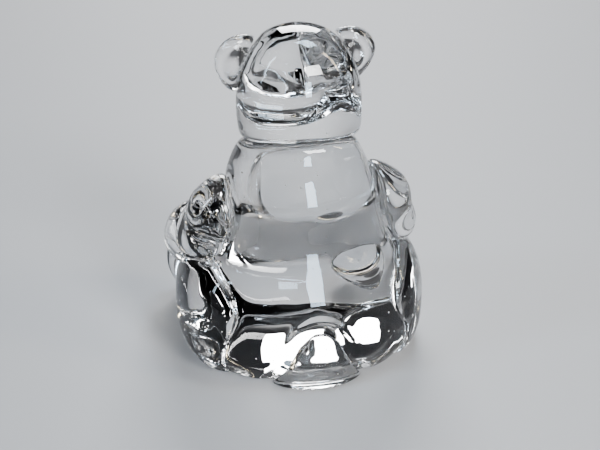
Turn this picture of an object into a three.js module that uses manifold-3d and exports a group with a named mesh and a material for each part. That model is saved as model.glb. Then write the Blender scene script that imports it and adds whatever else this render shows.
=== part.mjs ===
// Seated teddy bear in solid clear crystal, worked from separate gathers of glass that are fused together:
// torso, head, muzzle, nose, ears, arms, haunches, feet and tail. Millimetres, +Z up. The bear faces -Y and its
// left side is +X. The origin is on the ground, under the centre of the bear's bounding box.
import * as THREE from "three";
import { mergeVertices } from "three/addons/utils/BufferGeometryUtils.js";
import Module from "manifold-3d";

const wasm = await Module();
wasm.setup();

// Driving dimensions.
const SEAM = 0.3; // clearance between two gathers where they are fused
const CROWN_HEIGHT = 82.5;
const HEAD_WIDTH = 30;
const HEAD_HEIGHT = 63; // where the head is widest
const NECK_HEIGHT = 55; // where the head sits on the torso, on the bear's axis
const NECK_RADIUS = 13.4;
const NECK_TILT = THREE.MathUtils.degToRad(14); // the nape is higher than the throat
const TORSO_DEPTH_SHARE = 0.94; // front-to-back size over side-to-side size
const TORSO_SQUARENESS = 2.7; // 2 is round in plan, and more has flatter front, back and sides
const HEAD_SQUARENESS = 2.4;
const SEAT_BACK = 1.2; // the torso's axis is this far further back at the seat than at the neck
const SEAT_HEIGHT = 14;
const LAP_HEIGHT = 26;
const LAP_REACH = 14; // how far above and below that the front is hollowed
const LAP_HOLLOW = 0.12; // how much of the front's depth is hollowed there
const HAUNCH_SPREAD = 19.6; // from the bear's axis to the middle of each haunch
const FOOT_SPREAD = 18.8;
const SOLE_FRONT = 31.3; // how far the soles stand in front of the bear's axis
const SOLE_TILT = THREE.MathUtils.degToRad(7); // the toes lean back
const EAR_RADIUS = 6.4;
const EYE_SPREAD = 5.3;
const EYE_RADIUS = 2.2;

const SIDES = [
  { prefix: "left", side: 1 },
  { prefix: "right", side: -1 },
];

// Steps round and along each rounded piece.
const LARGE = { round: 36, along: 20 };
const MEDIUM = { round: 28, along: 15 };
const SMALL = { round: 20, along: 10 };

// The torso's outline from below the base to inside the head, as [radius, height] on its side-to-side section.
const TORSO_OUTLINE = [
  [20, -4],
  [23.6, 0],
  [26, 4],
  [26.6, 11],
  [24.6, 21],
  [21, 30],
  [19.2, 38],
  [17.1, 47],
  [NECK_RADIUS, NECK_HEIGHT],
  [12, NECK_HEIGHT + 6],
];

const crystal = new THREE.MeshStandardMaterial({
  color: 0xf4f8fa,
  roughness: 0.02,
  metalness: 0,
  transparent: true,
  opacity: 0.35,
});

// --- Solids ---

// A closed geometry as a manifold solid, with the vertices that share a place merged.
function solidOf(geometry) {
  const bare = geometry.clone();
  bare.deleteAttribute("normal");
  bare.deleteAttribute("uv");
  const merged = mergeVertices(bare, 1e-4);
  return new wasm.Manifold(
    new wasm.Mesh({
      numProp: 3,
      vertProperties: merged.getAttribute("position").array,
      triVerts: new Uint32Array(merged.index.array),
    }),
  );
}

function geometryOf(solid) {
  const { vertProperties, triVerts } = solid.getMesh();
  const geometry = new THREE.BufferGeometry();
  geometry.setAttribute("position", new THREE.BufferAttribute(vertProperties, 3));
  geometry.setIndex(new THREE.BufferAttribute(triVerts, 1));
  return geometry;
}

// The largest connected body of a solid, so that no sliver is left beside it after a cut.
function largestBody(solid) {
  return solid.decompose().reduce((a, b) => (b.volume() > a.volume() ? b : a));
}

function joined(...solids) {
  return solids.reduce((a, b) => a.add(b));
}

function cut(solid, ...tools) {
  return tools.reduce((a, b) => a.subtract(b), solid);
}

// How far out a point of a round plan moves to flatten the plan's sides, as a share of its radius.
function squared(x, y, squareness) {
  const radius = Math.hypot(x, y);
  if (radius === 0) {
    return 1;
  }
  const reach = Math.abs(x / radius) ** squareness + Math.abs(y / radius) ** squareness;
  return reach ** (-1 / squareness);
}

// An ellipsoid with its own upper and lower half heights, turned by the Euler angles in turn. A fullness
// above 2 squares its shoulders, and a squareness above 2 its plan.
function lobe({
  at,
  radii,
  lower = radii[2],
  fullness = 2,
  squareness = 2,
  turn = [0, 0, 0],
  steps = MEDIUM,
  grow = 0,
}) {
  const geometry = new THREE.SphereGeometry(1, steps.round, steps.along).rotateX(Math.PI / 2);
  const [width, depth, upper] = radii;
  const position = geometry.getAttribute("position");
  const vertex = new THREE.Vector3();
  for (let i = 0; i < position.count; i++) {
    vertex.fromBufferAttribute(position, i);
    const reach = Math.hypot(vertex.x, vertex.y) ** fullness + Math.abs(vertex.z) ** fullness;
    const height = vertex.z > 0 ? upper : lower;
    const out = squared(vertex.x, vertex.y, squareness);
    vertex.multiplyScalar(reach ** (-1 / fullness)).multiply(new THREE.Vector3(out, out, 1));
    vertex.multiply(new THREE.Vector3(width + grow, depth + grow, height + grow));
    position.setXYZ(i, ...vertex);
  }
  const pose = new THREE.Matrix4().makeRotationFromEuler(new THREE.Euler(...turn)).setPosition(...at);
  return solidOf(geometry.applyMatrix4(pose));
}

// A round-ended limb along a smooth curve, whose radius runs evenly from the first value to the last.
function limb({ points, radii, steps = MEDIUM, grow = 0 }) {
  const curve = new THREE.CatmullRomCurve3(points.map((p) => new THREE.Vector3(...p)));
  const length = curve.getLength();
  const [startRadius, endRadius] = radii.map((radius) => radius + grow);
  const capSteps = Math.round(steps.along / 3);
  const bodySteps = Math.round(steps.along / 2);
  const geometry = new THREE.CapsuleGeometry(1, length, capSteps, steps.round, bodySteps);
  const { normals, binormals, tangents } = curve.computeFrenetFrames(bodySteps, false);
  const position = geometry.getAttribute("position");
  const vertex = new THREE.Vector3();
  for (let i = 0; i < position.count; i++) {
    vertex.fromBufferAttribute(position, i);
    const along = THREE.MathUtils.clamp(vertex.y / length + 0.5, 0, 1);
    const beyond = vertex.y - (along - 0.5) * length;
    const radius = THREE.MathUtils.lerp(startRadius, endRadius, along);
    const frame = Math.round(along * bodySteps);
    const point = curve
      .getPointAt(along)
      .addScaledVector(tangents[frame], beyond * radius)
      .addScaledVector(normals[frame], vertex.z * radius)
      .addScaledVector(binormals[frame], vertex.x * radius);
    position.setXYZ(i, ...point);
  }
  return solidOf(geometry);
}

// A block that takes up everything on one side of the plane through a point, along a normal.
function halfSpace(point, normal) {
  const size = 200;
  const block = new THREE.BoxGeometry(size, size, size).translate(0, 0, size / 2);
  const toNormal = new THREE.Quaternion().setFromUnitVectors(
    new THREE.Vector3(0, 0, 1),
    new THREE.Vector3(...normal).normalize(),
  );
  return solidOf(block.applyQuaternion(toNormal).translate(...point));
}

const neckNormal = [0, -Math.sin(NECK_TILT), Math.cos(NECK_TILT)];
const underground = halfSpace([0, 0, 0], [0, 0, -1]);
const aboveNeck = halfSpace([0, 0, NECK_HEIGHT], neckNormal);
const belowNeck = halfSpace([0, 0, NECK_HEIGHT + SEAM], neckNormal.map((n) => -n));

// --- Gathers of glass, each grown by the seam where it cuts its neighbour ---

function torsoShape(grow = 0) {
  const outline = new THREE.SplineCurve(
    TORSO_OUTLINE.map(([radius, height]) => new THREE.Vector2(radius + grow, height)),
  ).getSpacedPoints(LARGE.along);
  const bottom = new THREE.Vector2(0, outline[0].y);
  const top = new THREE.Vector2(0, outline[outline.length - 1].y);
  const geometry = new THREE.LatheGeometry([bottom, ...outline, top], LARGE.round)
    .rotateX(Math.PI / 2);
  const position = geometry.getAttribute("position");
  const vertex = new THREE.Vector3();
  for (let i = 0; i < position.count; i++) {
    const { x, y, z } = vertex.fromBufferAttribute(position, i);
    const out = squared(x, y, TORSO_SQUARENESS);
    const lean = THREE.MathUtils.smoothstep(NECK_HEIGHT - z, 0, NECK_HEIGHT - SEAT_HEIGHT);
    const hollow = y < 0 ? LAP_HOLLOW * Math.exp(-(((z - LAP_HEIGHT) / LAP_REACH) ** 2)) : 0;
    position.setXY(i, x * out, y * out * TORSO_DEPTH_SHARE * (1 - hollow) + lean * SEAT_BACK);
  }
  return solidOf(geometry);
}

function headShape(grow = 0) {
  const radius = HEAD_WIDTH / 2;
  return lobe({
    at: [0, -0.5, HEAD_HEIGHT],
    radii: [radius, radius * 0.98, CROWN_HEIGHT - HEAD_HEIGHT],
    lower: 18,
    fullness: 2.4,
    squareness: HEAD_SQUARENESS,
    steps: LARGE,
    grow,
  });
}

// A shallow pressed dimple where each eye is.
function eyeDimple(side) {
  const at = [side * EYE_SPREAD, -15.2, 68.6];
  return lobe({ at, radii: [EYE_RADIUS, EYE_RADIUS, EYE_RADIUS], steps: SMALL });
}

function muzzleShape(grow = 0) {
  return lobe({ at: [0, -14.3, 61.5], radii: [8.4, 8.6, 6.4], turn: [0.12, 0, 0], grow });
}

function noseShape() {
  return lobe({ at: [0, -21.4, 64.6], radii: [3.5, 2.1, 2.3], steps: SMALL });
}

function earShape(side) {
  const turn = [-0.35, side * 0.2, side * 0.22];
  const disc = lobe({
    at: [side * 13.6, -5, 74.3],
    radii: [EAR_RADIUS, 3.1, EAR_RADIUS],
    lower: EAR_RADIUS * 1.7,
    turn,
  });
  const dish = lobe({ at: [side * 14.6, -11.4, 74], radii: [5, 6, 5], lower: 7, turn, steps: SMALL });
  return disc.subtract(dish);
}

// The upper arm comes out of the shoulder, and the forearm runs forward from the elbow to a round paw.
function armShape(side) {
  const upper = limb({
    points: [
      [side * 14.5, -0.5, 39.5],
      [side * 17.2, 0.2, 38],
      [side * 19.2, 1, 36.5],
    ],
    radii: [8, 9.2],
  });
  const forearm = limb({
    points: [
      [side * 22.2, 1.5, 31],
      [side * 23.6, -9, 27.5],
      [side * 22.6, -18, 22],
    ],
    radii: [7.4, 8.8],
  });
  return joined(upper, forearm);
}

function haunchShape(side, grow = 0) {
  return lobe({
    at: [side * HAUNCH_SPREAD, 1.8, 12],
    radii: [11.4, 19.8, 15.8],
    lower: 16,
    fullness: 2.6,
    turn: [0, 0, side * 0.1],
    steps: LARGE,
    grow,
  });
}

function footShape(side, grow = 0) {
  const shin = limb({
    points: [-9, -17, -24].map((y) => [side * FOOT_SPREAD, y, 9.5]),
    radii: [9.8, 9.4],
    grow,
  });
  const pad = lobe({
    at: [side * FOOT_SPREAD, -27.5, 11.4],
    radii: [10.8, 5.6, 12.4],
    turn: [-SOLE_TILT, 0, 0],
    grow,
  });
  const beyondSole = halfSpace([0, -SOLE_FRONT - grow, 0], [0, -Math.cos(SOLE_TILT), Math.sin(SOLE_TILT)]);
  return joined(shin, pad).subtract(beyondSole);
}

function tailShape() {
  return lobe({ at: [0.8, 18.4, 2], radii: [13.2, 10.5, 17.5], fullness: 2.6 });
}

// --- Assembly ---

const group = new THREE.Group();

function place(name, solid) {
  const mesh = new THREE.Mesh(geometryOf(largestBody(solid)), crystal.clone());
  mesh.name = name;
  group.add(mesh);
}

const torsoGrown = torsoShape(SEAM);
const headGrown = headShape(SEAM);
const haunchesGrown = joined(...SIDES.map(({ side }) => haunchShape(side, SEAM)));

place("torso", cut(torsoShape(), aboveNeck, underground));
place("head", cut(headShape(), belowNeck, ...SIDES.map(({ side }) => eyeDimple(side))));
place("muzzle", cut(muzzleShape(), headGrown));
place("nose", cut(noseShape(), muzzleShape(SEAM), headGrown));
for (const { prefix, side } of SIDES) {
  place(`${prefix}_ear`, cut(earShape(side), headGrown));
  place(`${prefix}_arm`, cut(armShape(side), torsoGrown, haunchesGrown, footShape(side, SEAM)));
  place(`${prefix}_haunch`, cut(haunchShape(side), torsoGrown, underground));
  place(`${prefix}_foot`, cut(footShape(side), torsoGrown, haunchShape(side, SEAM), underground));
}
place("tail", cut(tailShape(), torsoGrown, haunchesGrown, underground));

// The origin moves under the centre of the whole bear, from front to back.
const centre = new THREE.Box3().setFromObject(group).getCenter(new THREE.Vector3());
group.position.y = -centre.y;

export default group;
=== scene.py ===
"""A crystal glass bear figurine, seated.

The sub-parts of the frame become distance fields, which are polished, worked, grooved, fused and ground
flat underneath, then parted again into one closed piece for each sub-part. Lengths are in metres, +Z up.
"""

import math

import bmesh
import bpy
import numpy as np
import openvdb
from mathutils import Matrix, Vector


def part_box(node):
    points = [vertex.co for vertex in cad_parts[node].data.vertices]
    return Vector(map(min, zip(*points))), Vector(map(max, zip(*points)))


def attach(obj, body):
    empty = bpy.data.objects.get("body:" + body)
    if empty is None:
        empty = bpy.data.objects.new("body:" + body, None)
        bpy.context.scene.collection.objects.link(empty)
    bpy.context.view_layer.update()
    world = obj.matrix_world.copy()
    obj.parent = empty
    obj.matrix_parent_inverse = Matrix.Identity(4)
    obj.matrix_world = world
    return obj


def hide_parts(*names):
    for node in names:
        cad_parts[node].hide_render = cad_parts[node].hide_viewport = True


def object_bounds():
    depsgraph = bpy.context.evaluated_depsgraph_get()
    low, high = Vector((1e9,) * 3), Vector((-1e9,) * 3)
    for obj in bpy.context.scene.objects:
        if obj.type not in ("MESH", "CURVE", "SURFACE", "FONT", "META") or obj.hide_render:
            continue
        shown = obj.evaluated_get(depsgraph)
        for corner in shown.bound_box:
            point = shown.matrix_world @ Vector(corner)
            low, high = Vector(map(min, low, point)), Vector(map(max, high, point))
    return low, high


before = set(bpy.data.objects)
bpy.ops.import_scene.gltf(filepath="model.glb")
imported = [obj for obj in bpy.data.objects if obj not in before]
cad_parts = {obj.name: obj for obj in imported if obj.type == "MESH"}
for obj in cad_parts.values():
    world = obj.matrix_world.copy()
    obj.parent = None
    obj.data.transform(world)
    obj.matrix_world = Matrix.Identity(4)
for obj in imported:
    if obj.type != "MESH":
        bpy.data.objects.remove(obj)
CAD_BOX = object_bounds()

MM = 0.001
BODY = "root"

# The sub-parts in the order in which they are parted from the rest, and how far polishing rounds each (mm).
POLISH = {
    "nose": 0.45,
    "left_ear": 0.6,
    "right_ear": 0.6,
    "muzzle": 0.8,
    "head": 1.1,
    "left_arm": 1.6,
    "right_arm": 1.6,
    "left_foot": 1.0,
    "right_foot": 1.0,
    "tail": 0.9,
    "left_haunch": 1.2,
    "right_haunch": 1.2,
    "torso": 2.2,
}

# The pieces that have a groove pressed round them, and how deep it is (mm).
GROOVED = {
    "nose": 0.3,
    "left_ear": 0.5,
    "right_ear": 0.5,
    "muzzle": 0.6,
    "head": 0.6,
    "left_arm": 0.5,
    "right_arm": 0.5,
    "tail": 0.9,
}

CELL = 0.5 * MM          # side of a cell of the grid
BAND = 12                # cells measured on each side of a surface
MERGE = 0.001 * MM       # corners this close are one
ON_FLOOR = 0.01 * MM     # a corner this low is on the floor
SKIRT = 8 * MM           # how far a base runs on under the floor before it is ground flat
GROOVE_WIDTH = 1.2 * MM  # how far a groove reaches to each side
FUSE = 0.42 * MM         # how softly neighbours run into each other
GRIND = 0.22 * MM        # how softly the ground base meets the sides
SHEATH = 2.5 * MM        # how far outside the glass the parting cells reach

# What is pressed into the front of the head, in mm: how deep, how far from the middle, how far above the
# brow, and how wide and how high it spreads. The bridge between the eyes is raised.
FACE_RELIEF = {
    "bridge": (-1.3, 0, 3, 2.5, 8),
    "sockets": (1.8, 5.6, 0, 2.6, 3.6),
    "temples": (1.0, 9.5, 5, 3, 5),
}
BROW = 0.56              # share of the head's height
FACE_START = 5 * MM      # in front of the head's middle
FACE_FADE = 3 * MM

LIPS = 0.36              # share of the muzzle's height
LIPS_DEPTH = 1.1 * MM
LIPS_WIDTH = 0.9 * MM
SMILE_REACH = 6.5 * MM   # how far out from the middle the lips run
SMILE_FADE = 1 * MM
SMILE_RISE = 1.3 * MM    # how far they rise by SMILE_TURN from the middle
SMILE_TURN = 6 * MM
CLEFT_DEPTH = 0.9 * MM   # the upright line from the lips to the nose
CLEFT_WIDTH = 0.8 * MM

DISH_HEIGHT = 0.47       # share of the foot's height
DISH_RADIUS = 7 * MM
DISH_NARROWING = 0.9
DISH_DEPTH = 0.9 * MM
DISH_FADE = 0.6 * MM
SOLE_THICKNESS = 5 * MM  # how far behind the foot's front the dish can reach
SOLE_FADE = 2 * MM

NEWTON_STEPS = 3         # times a surface's points are moved onto the field's zero
LEAST_SLOPE = 0.05       # squared slope below which a point isn't moved further
LONGEST_STEP = 0.5       # in cells

GLASS_IOR = 1.55
HAZE_SCALE = 45          # patches per metre
HAZE_START = 0.55        # noise value where haze begins, and where it is full
HAZE_FULL = 0.85
HAZE_ROUGHNESS = 0.05
SPECK_SPACING = 2.4 * MM
SPECK_RADIUS = 0.075     # in spacings
SPECKS_LEFT_OUT = 0.55   # share of the places without a speck
SPECK_ROUGHNESS = 0.6
RIPPLE_SCALE = 110       # waves per metre
RIPPLE_STRENGTH = 0.45
RIPPLE_HEIGHT = 0.25 * MM

WHITE = (1.0, 1.0, 1.0)
COOL = (0.68, 0.84, 1.0)
WARM = (1.0, 0.86, 0.62)

# Each softbox: azimuth and elevation in degrees, distance, sides, watts and tint.
SOFTBOXES = {
    "key": (347, 31, 0.55, (0.24, 0.18), 2.2, WHITE),
    "window": (200, 38, 0.55, (0.15, 0.15), 2.0, WHITE),
    "crown": (300, 76, 0.50, (0.16, 0.10), 0.9, COOL),
    "left_strip": (245, 42, 0.50, (0.04, 0.30), 0.5, WARM),
    "right_strip": (95, 40, 0.50, (0.04, 0.30), 0.5, COOL),
    "back_strip": (190, 13, 0.60, (0.05, 0.20), 0.6, COOL),
}

# The room's light by the sine of the elevation.
ROOM_LIGHT = [
    (0.14, (0.12, 0.12, 0.123)),
    (0.30, (0.012, 0.012, 0.014)),
    (0.80, (0.012, 0.012, 0.014)),
    (0.95, (0.7, 0.7, 0.7)),
]

FLOOR_RADIUS = 3.0
FLOOR_SIDES = 64
FLOOR_GAP = 0.05 * MM    # between the ground base and the floor
FLOOR_COLOUR = (0.42, 0.42, 0.43)
FLOOR_ROUGHNESS = 0.6

CAMERA_AZIMUTH = 167
CAMERA_ELEVATION = 26
CAMERA_DISTANCE = 0.42
CAMERA_LENS = 100.8      # mm, on a sensor 36 mm wide
SENSOR_WIDTH = 36
AIM_ACROSS = -0.5 * MM   # from the middle of the box
AIM_ALONG = 0.1 * MM
AIM_HEIGHT = 0.364       # share of the box's height

GLASS_BOUNCES = 32
SEAM_BOUNCES = 64

LOW = np.array(CAD_BOX[0]) - (BAND + 2) * CELL
SHAPE = tuple(int(n) for n in np.ceil((np.array(CAD_BOX[1]) - LOW) / CELL) + BAND + 2)


# ---------------------------------------------------------------- distance fields


def skirted(node):
    """A copy of a node's mesh in cells of the grid, with any flat base at the floor run on below it."""
    bm = bmesh.new()
    bm.from_mesh(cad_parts[node].data)
    bmesh.ops.remove_doubles(bm, verts=bm.verts, dist=MERGE)
    base = [f for f in bm.faces if all(v.co.z < ON_FLOOR for v in f.verts)]
    if base:
        grown = bmesh.ops.extrude_face_region(bm, geom=base)["geom"]
        ring = [v for v in grown if isinstance(v, bmesh.types.BMVert)]
        bmesh.ops.translate(bm, verts=ring, vec=(0, 0, -SKIRT))
    bmesh.ops.triangulate(bm, faces=bm.faces)
    bm.verts.index_update()
    points = np.array([v.co[:] for v in bm.verts])
    triangles = np.array([[v.index for v in f.verts] for f in bm.faces], np.uint32)
    bm.free()
    return ((points - LOW) / CELL).astype(np.float32), triangles


def blurred(field, sigma):
    """The field after a Gaussian blur of sigma cells."""
    reach = math.ceil(3 * sigma)
    taps = np.exp(-0.5 * (np.arange(-reach, reach + 1) / sigma) ** 2)
    taps = (taps / taps.sum()).astype(np.float32)
    for axis in range(3):
        padding = [(reach, reach) if a == axis else (0, 0) for a in range(3)]
        padded = np.pad(field, padding, mode="edge")
        length = field.shape[axis]
        field = sum(tap * padded.take(range(i, i + length), axis) for i, tap in enumerate(taps))
    return field


def hump(offset, width):
    """A smooth hump of height 1."""
    return np.exp(-((offset / width) ** 2))


def ledge(offset, width):
    """Runs smoothly from 0 to 1 as the offset passes from minus to plus the width."""
    return 0.5 + 0.5 * np.tanh(offset / width)


def face(x, y, z):
    """How deep the front of the head is worked: eye sockets and temples, with a raised bridge between."""
    low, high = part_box("head")
    brow = low[2] + BROW * (high[2] - low[2])
    front = ledge((low[1] + high[1]) / 2 - FACE_START - y, FACE_FADE)
    depth = 0
    for deep, out, up, wide, tall in FACE_RELIEF.values():
        depth = depth + deep * MM * hump(abs(x) - out * MM, wide * MM) * hump(z - brow - up * MM, tall * MM)
    return front * depth


def mouth(x, z):
    """How deep the mouth is pressed into the muzzle: smiling lips, and a cleft up to the nose."""
    low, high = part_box("muzzle")
    above = z - low[2] - LIPS * (high[2] - low[2])
    rise = (x / SMILE_TURN) ** 2 * SMILE_RISE
    lips = LIPS_DEPTH * hump(above - rise, LIPS_WIDTH) * ledge(SMILE_REACH - abs(x), SMILE_FADE)
    cleft = CLEFT_DEPTH * hump(x, CLEFT_WIDTH) * ledge(above, CLEFT_WIDTH)
    return np.maximum(lips, cleft)


def sole(x, y, z, low, high):
    """How deep the pressed dish in a foot's sole is."""
    across = x - (low[0] + high[0]) / 2
    up = z - low[2] - DISH_HEIGHT * (high[2] - low[2])
    reach = np.hypot(across / DISH_NARROWING, up)
    front = ledge(low[1] + SOLE_THICKNESS - y, SOLE_FADE)
    return DISH_DEPTH * ledge(DISH_RADIUS - reach, DISH_FADE) * front


def worked(node, x, y, z):
    """How deep a node's surface is worked by hand."""
    if node == "head":
        return face(x, y, z)
    if node == "muzzle":
        return mouth(x, z)
    if node.endswith("foot"):
        return sole(x, y, z, *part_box(node))
    return 0


def polished(node):
    """Signed distance in cells to a node's surface, negative inside, with its facets and edges polished."""
    points, triangles = skirted(node)
    grid = openvdb.FloatGrid.createLevelSetFromPolygons(
        points, triangles=triangles, transform=openvdb.createLinearTransform(1.0), halfWidth=BAND
    )
    field = np.full(SHAPE, BAND, np.float32)
    grid.copyToArray(field)
    low = np.maximum(np.floor(points.min(0)).astype(int) - BAND - 1, 0)
    high = np.ceil(points.max(0)).astype(int) + BAND + 2
    window = tuple(slice(a, b) for a, b in zip(low, high))
    sigma = POLISH[node] * MM / CELL
    soft = blurred(field[window], sigma)
    places = [LOW[a] + CELL * np.arange(w.start, w.stop) for a, w in enumerate(window)]
    depth = worked(node, *np.meshgrid(*places, indexing="ij"))
    field[window] = 2 * soft - blurred(soft, sigma) + depth / CELL
    return field


def grooved(names, fields):
    """The fields with a groove pressed round some pieces, into the pieces parted later."""
    made = list(fields)
    for turn, name in enumerate(names):
        if name in GROOVED:
            groove = GROOVED[name] * MM / CELL * hump(fields[turn], GROOVE_WIDTH / CELL)
            made[turn + 1 :] = [field + groove for field in made[turn + 1 :]]
    return made


def fused(fields):
    """All the sub-parts as one body, ground flat at the floor."""
    soft = FUSE / CELL
    body = -soft * np.log(sum(np.exp(-f / soft) for f in fields))
    height = (LOW[2] + CELL * np.arange(SHAPE[2], dtype=np.float32)) / CELL
    soft = GRIND / CELL
    return soft * np.logaddexp(body / soft, -height[None, None, :] / soft)


def sampled(field, points):
    """Trilinear values of a field at points in cells."""
    base = np.clip(np.floor(points).astype(int), 0, np.array(field.shape) - 2)
    t = (points - base).astype(np.float32)
    value = 0
    for corner in np.ndindex(2, 2, 2):
        weight = np.prod(np.where(corner, t, 1 - t), axis=1)
        i, j, k = (base + corner).T
        value = value + weight * field[i, j, k]
    return value


def slope(field, points):
    """The gradient of a field at points in cells."""
    half = np.eye(3) / 2
    return np.stack([sampled(field, points + way) - sampled(field, points - way) for way in half], 1)


def surface(field):
    """Points and faces of a field's zero surface, the faces turned outward."""
    grid = openvdb.FloatGrid()
    grid.copyFromArray(np.ascontiguousarray(field, np.float32))
    points, triangles, quads = grid.convertToPolygons(isovalue=0.0, adaptivity=0.0)
    points = points.astype(float)
    for _ in range(NEWTON_STEPS):
        gradient = slope(field, points)
        step = sampled(field, points) / (gradient**2).sum(1).clip(LEAST_SLOPE)
        points -= gradient * np.clip(step, -LONGEST_STEP, LONGEST_STEP)[:, None]
    return points, triangles, quads


def mesh_object(name, points, triangles, quads, material_index, materials):
    """A mesh object from points in cells."""
    mesh = bpy.data.meshes.new(name)
    mesh.from_pydata((points * CELL + LOW).tolist(), [], triangles.tolist() + quads.tolist())
    for each in materials:
        mesh.materials.append(each)
    mesh.polygons.foreach_set("material_index", [material_index] * len(mesh.polygons))
    obj = bpy.data.objects.new(name, mesh)
    bpy.context.scene.collection.objects.link(obj)
    return obj


def cut(obj, cutter, operation):
    """The mesh that a boolean of two closed objects leaves."""
    modifier = obj.modifiers.new("part", "BOOLEAN")
    modifier.operation = operation
    modifier.solver = "MANIFOLD"
    modifier.object = cutter
    result = bpy.data.meshes.new_from_object(obj.evaluated_get(bpy.context.evaluated_depsgraph_get()))
    obj.modifiers.remove(modifier)
    return result


def lit_smoothly(mesh, body):
    """Gives the outer faces the body's true normals, so that light runs on across the seams."""
    points = np.empty(3 * len(mesh.vertices))
    mesh.vertices.foreach_get("co", points)
    normals = slope(body, (points.reshape(-1, 3) - LOW) / CELL)
    normals /= np.linalg.norm(normals, axis=1)[:, None]
    corners = np.empty(len(mesh.loops), int)
    mesh.loops.foreach_get("vertex_index", corners)
    sides = np.empty(len(mesh.polygons), int)
    mesh.polygons.foreach_get("loop_total", sides)
    kinds = np.empty(len(mesh.polygons), int)
    mesh.polygons.foreach_get("material_index", kinds)
    outer = np.repeat(kinds == 0, sides)
    mesh.polygons.foreach_set("use_smooth", [True] * len(mesh.polygons))
    mesh.normals_split_custom_set(np.where(outer[:, None], normals[corners], 0.0).tolist())


def without_shards(mesh):
    """Drops the loose slivers that a cut leaves behind."""
    bm = bmesh.new()
    bm.from_mesh(mesh)
    todo = set(bm.verts)
    islands = []
    while todo:
        island = []
        front = [todo.pop()]
        while front:
            vert = front.pop()
            island.append(vert)
            near = {e.other_vert(vert) for e in vert.link_edges} & todo
            todo -= near
            front.extend(near)
        islands.append(island)
    islands.sort(key=len)
    for shard in islands[:-1]:
        bmesh.ops.delete(bm, geom=shard, context="VERTS")
    bm.to_mesh(mesh)
    bm.free()


def pieces(materials):
    """The figurine's pieces, by node."""
    names = list(POLISH)
    fields = grooved(names, [polished(n) for n in names])
    body = fused(fields)
    later = fields[-1]
    cells = {}
    for name, field in zip(names[-2::-1], fields[-2::-1]):
        cells[name] = np.maximum(field - later, body - SHEATH / CELL)
        later = np.minimum(later, field)
    rest = mesh_object("rest", *surface(body), 0, materials)
    made = {}
    for name in names[:-1]:
        cutter = mesh_object("cell", *surface(cells[name]), 1, materials)
        made[name] = cut(rest, cutter, "INTERSECT")
        rest.data = cut(rest, cutter, "DIFFERENCE")
        bpy.data.objects.remove(cutter)
    made[names[-1]] = rest.data
    bpy.data.objects.remove(rest)
    for mesh in made.values():
        without_shards(mesh)
        lit_smoothly(mesh, body)
    return made


# ---------------------------------------------------------------- materials


def material(name):
    """A new material with only its output node, and that material's nodes, links and output."""
    made = bpy.data.materials.new(name)
    made.use_nodes = True
    nodes = made.node_tree.nodes
    nodes.clear()
    return made, nodes, made.node_tree.links, nodes.new("ShaderNodeOutputMaterial")


def noise(nodes, links, place, scale, detail):
    """A noise pattern in the figurine's own space, which runs on across the seams."""
    made = nodes.new("ShaderNodeTexNoise")
    made.inputs["Scale"].default_value = scale
    made.inputs["Detail"].default_value = detail
    links.new(place, made.inputs["Vector"])
    return made.outputs[0]


def computed(nodes, links, operation, *terms):
    """The value of a math node, whose terms are sockets or numbers."""
    made = nodes.new("ShaderNodeMath")
    made.operation = operation
    for socket, term in zip(made.inputs, terms):
        if isinstance(term, (int, float)):
            socket.default_value = term
        else:
            links.new(term, socket)
    return made.outputs[0]


def dust(nodes, links, place):
    """1 on a few tiny specks, and 0 elsewhere."""
    spots = nodes.new("ShaderNodeTexVoronoi")
    spots.inputs["Scale"].default_value = 1 / SPECK_SPACING
    links.new(place, spots.inputs["Vector"])
    near = computed(nodes, links, "LESS_THAN", spots.outputs["Distance"], SPECK_RADIUS)
    chosen = nodes.new("ShaderNodeSeparateColor")
    links.new(spots.outputs["Color"], chosen.inputs[0])
    few = computed(nodes, links, "GREATER_THAN", chosen.outputs["Red"], SPECKS_LEFT_OUT)
    return computed(nodes, links, "MULTIPLY", near, few)


def crystal():
    """Colourless lead crystal, fire-polished: faintly rippled and hazed, with a few specks of dust."""
    made, nodes, links, output = material("crystal_glass")
    place = nodes.new("ShaderNodeTexCoord").outputs["Object"]
    glass = nodes.new("ShaderNodeBsdfPrincipled")
    glass.inputs["Base Color"].default_value = (1, 1, 1, 1)
    glass.inputs["IOR"].default_value = GLASS_IOR
    glass.inputs["Transmission Weight"].default_value = 1.0

    haze = nodes.new("ShaderNodeMapRange")
    haze.inputs["From Min"].default_value = HAZE_START
    haze.inputs["From Max"].default_value = HAZE_FULL
    haze.inputs["To Max"].default_value = HAZE_ROUGHNESS
    links.new(noise(nodes, links, place, HAZE_SCALE, detail=2), haze.inputs["Value"])
    specks = computed(nodes, links, "MULTIPLY", dust(nodes, links, place), SPECK_ROUGHNESS)
    links.new(computed(nodes, links, "ADD", haze.outputs[0], specks), glass.inputs["Roughness"])

    skin = nodes.new("ShaderNodeBump")
    skin.inputs["Strength"].default_value = RIPPLE_STRENGTH
    skin.inputs["Distance"].default_value = RIPPLE_HEIGHT
    links.new(noise(nodes, links, place, RIPPLE_SCALE, detail=1), skin.inputs["Height"])
    links.new(skin.outputs[0], glass.inputs["Normal"])
    links.new(glass.outputs[0], output.inputs["Surface"])
    return made


def seam():
    """Where two pieces are fused: nothing bends or stops the light."""
    made, nodes, links, output = material("fused_seam")
    clear = nodes.new("ShaderNodeBsdfTransparent")
    links.new(clear.outputs[0], output.inputs["Surface"])
    return made


def floor_paint():
    """A plain pale studio floor."""
    made, nodes, links, output = material("floor")
    paint = nodes.new("ShaderNodeBsdfPrincipled")
    paint.inputs["Base Color"].default_value = (*FLOOR_COLOUR, 1)
    paint.inputs["Roughness"].default_value = FLOOR_ROUGHNESS
    links.new(paint.outputs[0], output.inputs["Surface"])
    return made


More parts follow.
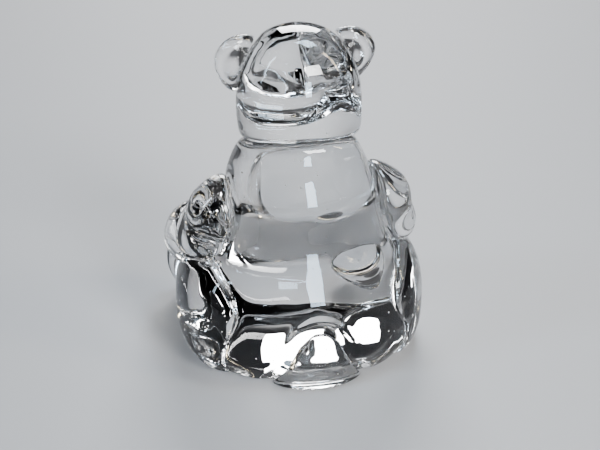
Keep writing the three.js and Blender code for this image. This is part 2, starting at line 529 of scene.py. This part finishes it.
def room():
    """The studio round the set: grey low down, pale straight overhead, and near black between."""
    made = bpy.data.worlds.new("studio")
    made.use_nodes = True
    nodes, links = made.node_tree.nodes, made.node_tree.links
    way = nodes.new("ShaderNodeTexCoord")
    split = nodes.new("ShaderNodeSeparateXYZ")
    links.new(way.outputs["Generated"], split.inputs[0])
    height = nodes.new("ShaderNodeValToRGB")
    links.new(split.outputs["Z"], height.inputs[0])
    lowest, *between, highest = ROOM_LIGHT
    stops = height.color_ramp.elements
    for stop, (sine, colour) in zip(stops, (lowest, highest)):
        stop.position = sine
        stop.color = (*colour, 1)
    for sine, colour in between:
        stops.new(sine).color = (*colour, 1)
    links.new(height.outputs["Color"], nodes["Background"].inputs["Color"])
    return made


# ---------------------------------------------------------------- studio


def at(azimuth, elevation, distance, target):
    """A point seen from the target: azimuth 0 looks along +Y."""
    turn, lift = math.radians(azimuth), math.radians(elevation)
    way = Vector((math.sin(turn) * math.cos(lift), -math.cos(turn) * math.cos(lift), math.sin(lift)))
    return target + distance * way


def aimed(obj, place, target):
    """Puts a camera or lamp at a place, looking at the target."""
    obj.location = place
    obj.rotation_euler = (target - place).to_track_quat("-Z", "Y").to_euler()
    bpy.context.scene.collection.objects.link(obj)


def softbox(name, azimuth, elevation, distance, sides, watts, tint, target):
    """A rectangular lamp aimed at the target, which the camera sees only by way of the glass."""
    lamp = bpy.data.lights.new(name, "AREA")
    lamp.color = tint
    lamp.shape = "RECTANGLE"
    lamp.size, lamp.size_y = sides
    lamp.energy = watts
    box = bpy.data.objects.new(name, lamp)
    box.visible_camera = False
    aimed(box, at(azimuth, elevation, distance, target), target)


def floor(height):
    """A round floor at a height."""
    bm = bmesh.new()
    bmesh.ops.create_circle(bm, cap_ends=True, segments=FLOOR_SIDES, radius=FLOOR_RADIUS)
    mesh = bpy.data.meshes.new("floor")
    bm.to_mesh(mesh)
    bm.free()
    mesh.materials.append(floor_paint())
    made = bpy.data.objects.new("floor", mesh)
    made.location.z = height
    bpy.context.scene.collection.objects.link(made)
    return made


def studio():
    """The floor, the room, the lamps and the camera."""
    low, high = (Vector(corner) for corner in CAD_BOX)
    centre = (low + high) / 2
    aim = Vector((centre.x + AIM_ACROSS, centre.y + AIM_ALONG, low.z + AIM_HEIGHT * (high.z - low.z)))
    floor(low.z - FLOOR_GAP)
    bpy.context.scene.world = room()
    for name, settings in SOFTBOXES.items():
        softbox(name, *settings, aim)

    lens = bpy.data.cameras.new("camera")
    lens.sensor_width = SENSOR_WIDTH
    lens.lens = CAMERA_LENS
    camera = bpy.data.objects.new("camera", lens)
    aimed(camera, at(CAMERA_AZIMUTH, CAMERA_ELEVATION, CAMERA_DISTANCE, aim), aim)
    bpy.context.scene.camera = camera

    bpy.context.scene.view_settings.look = "AgX - Medium High Contrast"
    cycles = bpy.context.scene.cycles
    cycles.max_bounces = GLASS_BOUNCES
    cycles.transmission_bounces = GLASS_BOUNCES
    cycles.transparent_max_bounces = SEAM_BOUNCES


def figurine():
    """The crystal pieces, each in the place of its node."""
    materials = [crystal(), seam()]
    for name, mesh in pieces(materials).items():
        mesh.name = name + "_glass"
        piece = bpy.data.objects.new(name + "_glass", mesh)
        bpy.context.scene.collection.objects.link(piece)
        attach(piece, BODY)
        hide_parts(name)


studio()
figurine()
